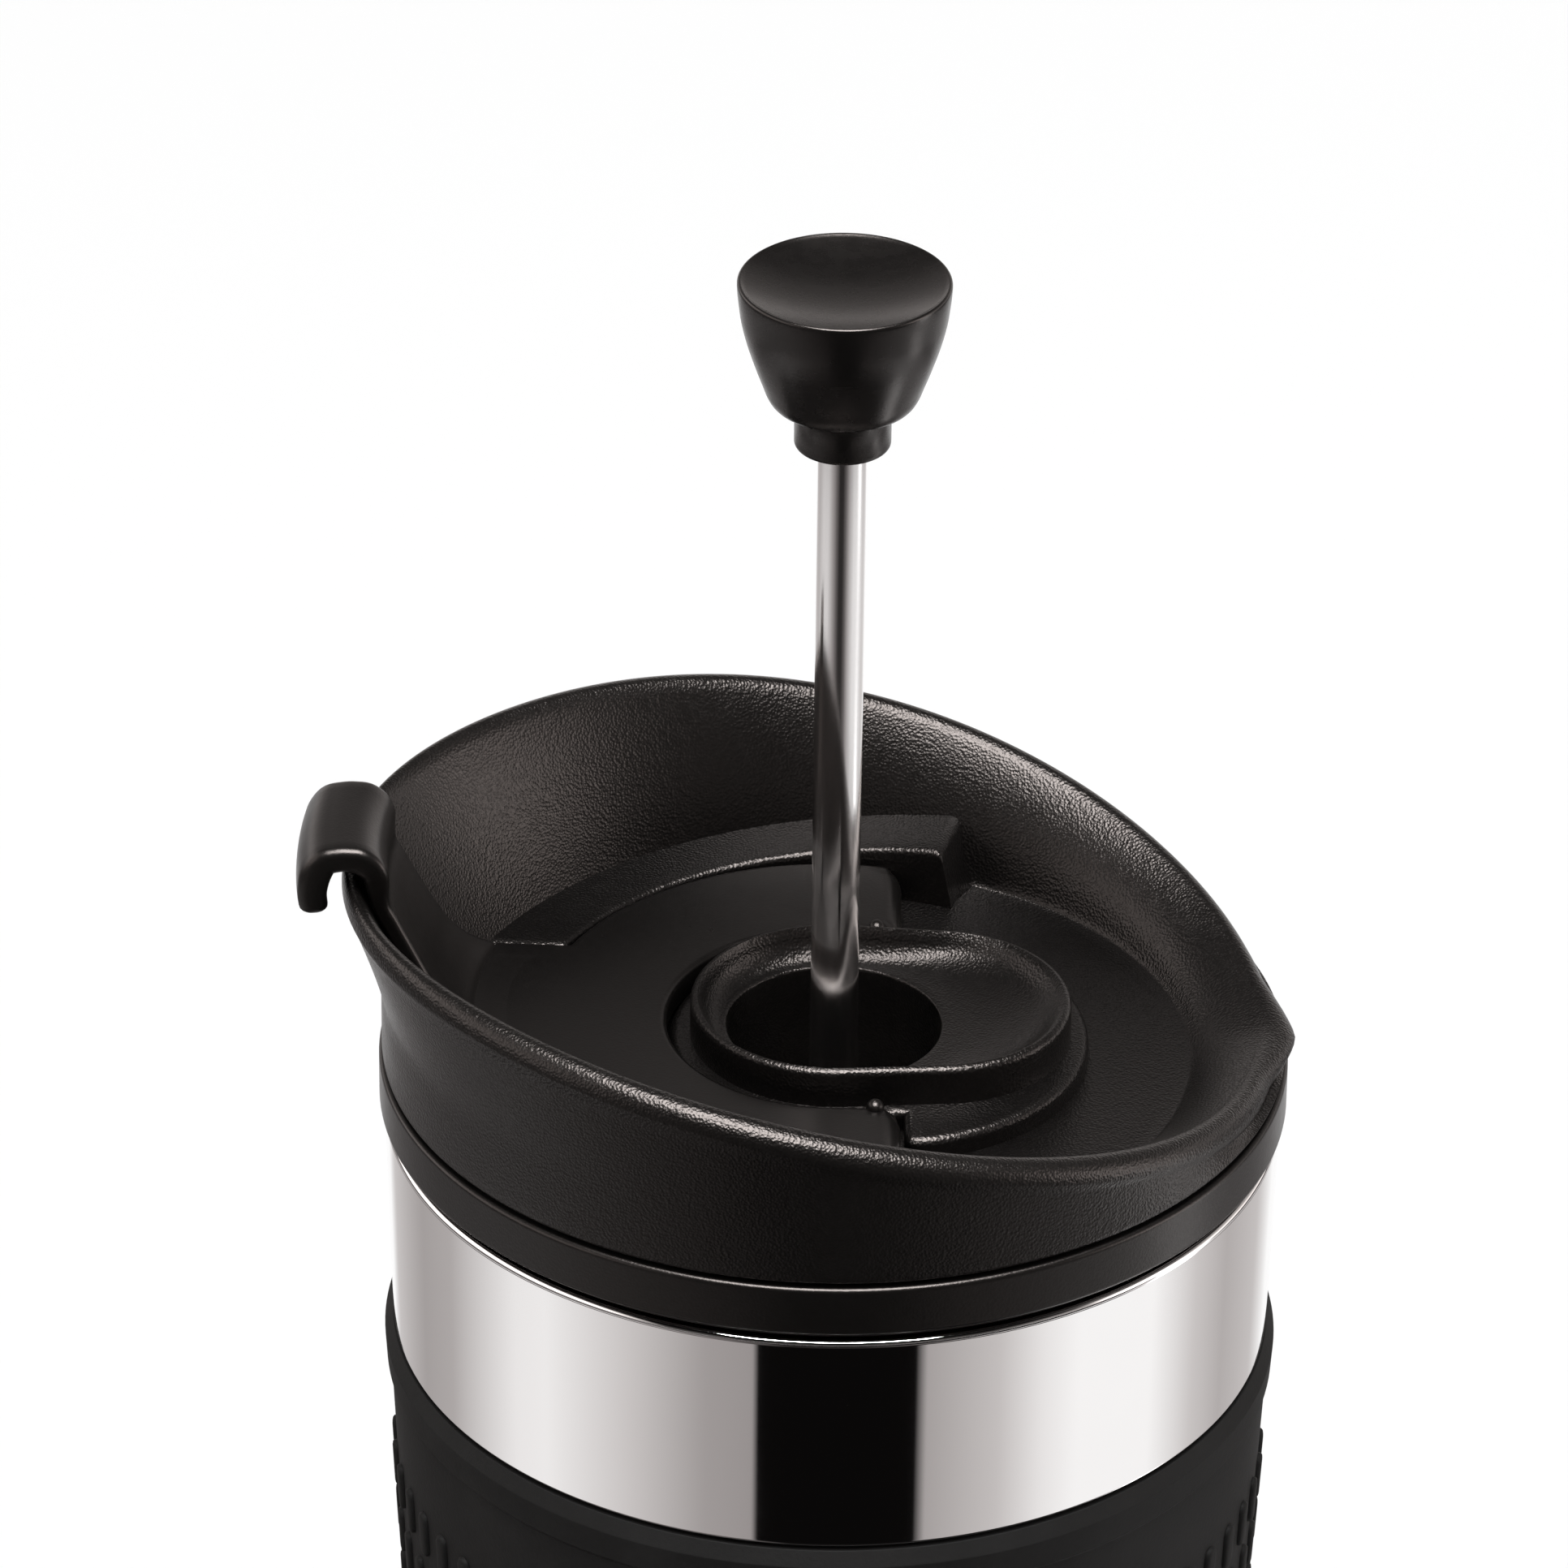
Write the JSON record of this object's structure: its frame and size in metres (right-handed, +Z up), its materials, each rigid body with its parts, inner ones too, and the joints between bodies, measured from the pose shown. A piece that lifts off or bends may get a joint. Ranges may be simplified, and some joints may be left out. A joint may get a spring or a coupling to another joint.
{
  "type": "travel french press",
  "caption": "Tapered double-walled steel travel mug with a grip sleeve, a tall oblique lid with a hinged drinking flap, and a plunger with a filter that presses coffee down.",
  "frame": {"origin": "centre of the foot pad's flat underside, on the mug's axis", "axes": "+Z up the mug's axis; -X towards the drinking side, where the rim is high and the flap's tab hooks over it; +X towards the rim's low beak"},
  "size_m": [0.0831, 0.076, 0.2417],
  "materials": {
    "steel": "polished stainless steel",
    "liner_steel": "satin stainless steel",
    "mesh_steel": "woven stainless mesh",
    "lid_plastic": "black, finely grained",
    "flap_plastic": "black, smooth satin",
    "knob_plastic": "black, smooth satin",
    "grip_silicone": "matte black silicone with a raised pattern",
    "foot_silicone": "matte black silicone",
    "seal_silicone": "grey silicone"
  },
  "bodies": {
    "vessel": {"outer_shell": "steel", "inner_liner": "liner_steel", "base_plate": "liner_steel", "foot_pad": "foot_silicone", "grip_sleeve": "grip_silicone", "mouth_collar": "lid_plastic"},
    "seal": {"lid_gasket": "seal_silicone"},
    "lid": {"lid_body": "lid_plastic", "lid_strainer": "lid_plastic", "rod_wiper": "seal_silicone", "hinge_pin_front": "steel", "hinge_pin_back": "steel"},
    "flap": {"drinking_flap": "flap_plastic", "flap_stopper": "seal_silicone"},
    "plunger": {"plunger_knob": "knob_plastic", "plunger_rod": "steel", "filter_hub": "steel", "filter_disc": "liner_steel", "filter_mesh": "mesh_steel", "filter_seal": "seal_silicone", "filter_cross_plate": "liner_steel", "filter_nut": "steel"}
  },
  "joints": [
    {"name": "lid_turn", "type": "hinge", "parent": "vessel", "child": "seal", "pos_m": [0, 0, 0.165], "axis": [0, 0, 1], "range_deg": [0, 120]},
    {"name": "lid_lift", "type": "slide", "parent": "seal", "child": "lid", "axis": [0, 0, 1], "range_m": [0, 0.155]},
    {"name": "flap_hinge", "type": "hinge", "parent": "lid", "child": "flap", "pos_m": [0.004, 0, 0.1712], "axis": [0, 1, 0], "range_deg": [0, 55]},
    {"name": "plunger_slide", "type": "slide", "parent": "lid", "child": "plunger", "axis": [0, 0, 1], "range_m": [-0.0665, 0.05]}
  ]
}
